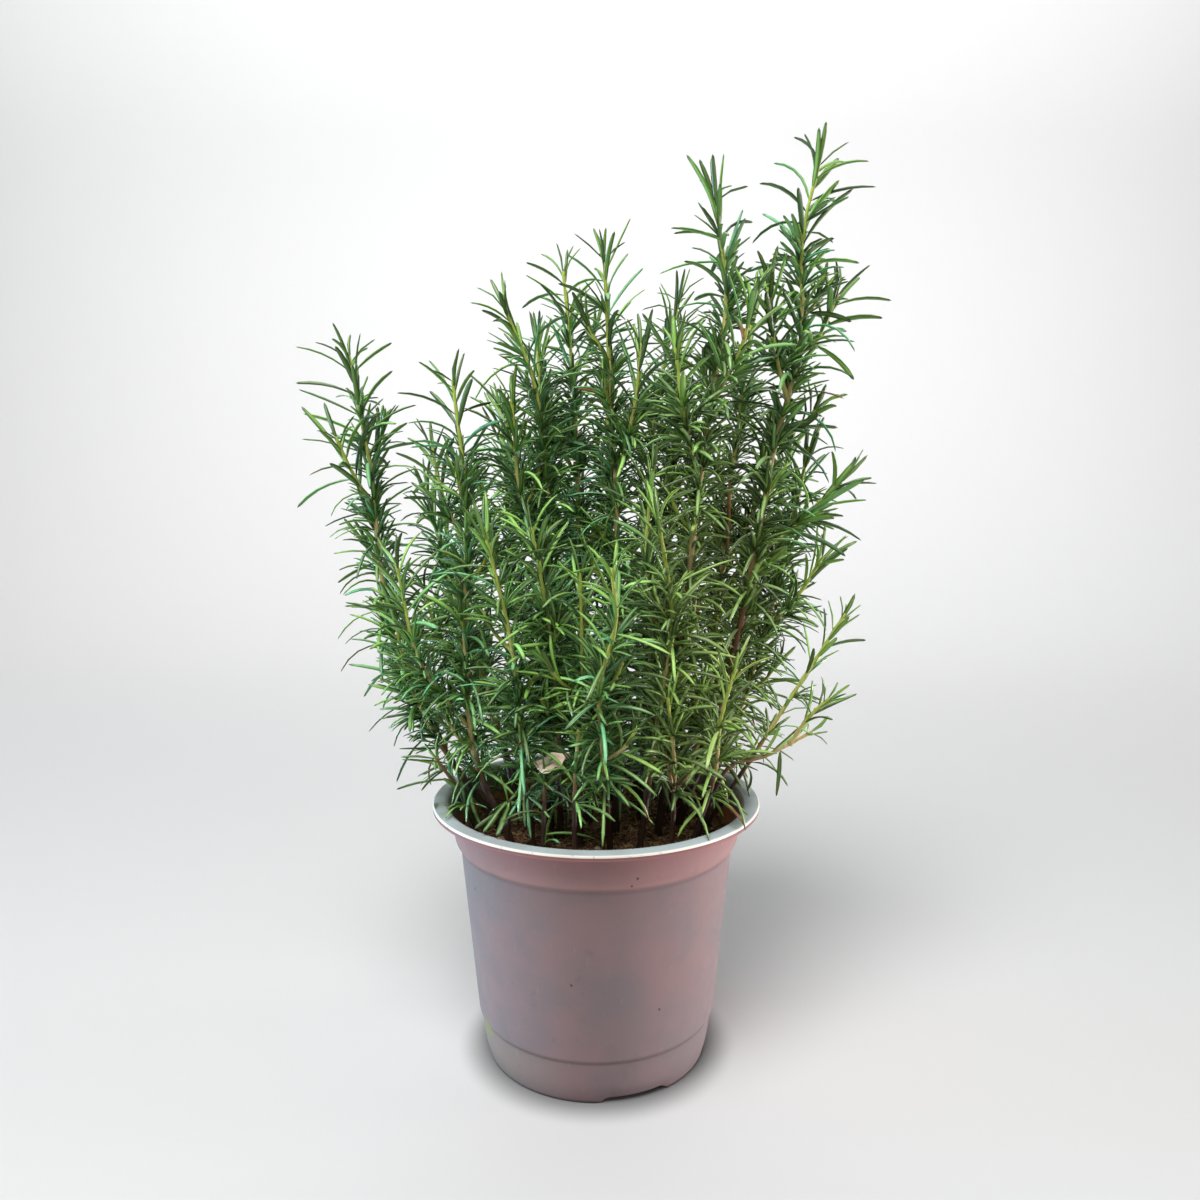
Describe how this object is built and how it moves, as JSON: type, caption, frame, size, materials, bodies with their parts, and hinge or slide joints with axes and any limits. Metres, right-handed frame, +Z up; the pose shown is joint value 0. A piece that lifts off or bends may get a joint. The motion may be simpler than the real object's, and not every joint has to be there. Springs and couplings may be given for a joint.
{
  "type": "potted rosemary plant",
  "caption": "Bushy upright rosemary with needle-covered stems growing from soil in a tapered, wide-rimmed plastic nursery pot.",
  "frame": {"origin": "centre of the pot's base, on the surface that the pot stands on", "axes": "+Z up along the pot's axis, +X to the right and -Y towards the viewer in the picture"},
  "size_m": [0.2791, 0.2148, 0.4636],
  "materials": {
    "pot": "matte dusty-rose thermoformed polypropylene, bluish at its left and redder on the shoulder band",
    "soil": "dark brown peat with fibres and bark",
    "foliage": "satin dark-green needles with pale undersides on brown to olive stems"
  },
  "bodies": {
    "root": {"pot": "pot", "soil": "soil", "stem_left_outer": "foliage", "stem_left_second": "foliage", "stem_left_middle": "foliage", "stem_middle": "foliage", "stem_middle_front": "foliage", "stem_middle_right": "foliage", "stem_right": "foliage", "stem_right_tall": "foliage", "stem_right_inner": "foliage", "stem_low_right": "foliage", "twig_low_right": "foliage", "stem_front_middle": "foliage", "stem_front_inner": "foliage", "shoot_front_low": "foliage", "shoot_front_right_low": "foliage", "shoot_front_left_low": "foliage", "shoot_front_small": "foliage", "stem_front_left": "foliage", "stem_front_left_inner": "foliage", "stem_front_right": "foliage", "stem_right_front": "foliage", "shoot_left_low": "foliage", "stem_back_left": "foliage", "stem_back_left_outer": "foliage", "stem_back_left_middle": "foliage", "stem_back_inner": "foliage", "stem_back_low": "foliage", "stem_back_middle": "foliage", "stem_back_right_inner": "foliage", "stem_back_right_low": "foliage", "stem_back_right": "foliage", "stem_back_right_outer": "foliage"}
  },
  "joints": []
}
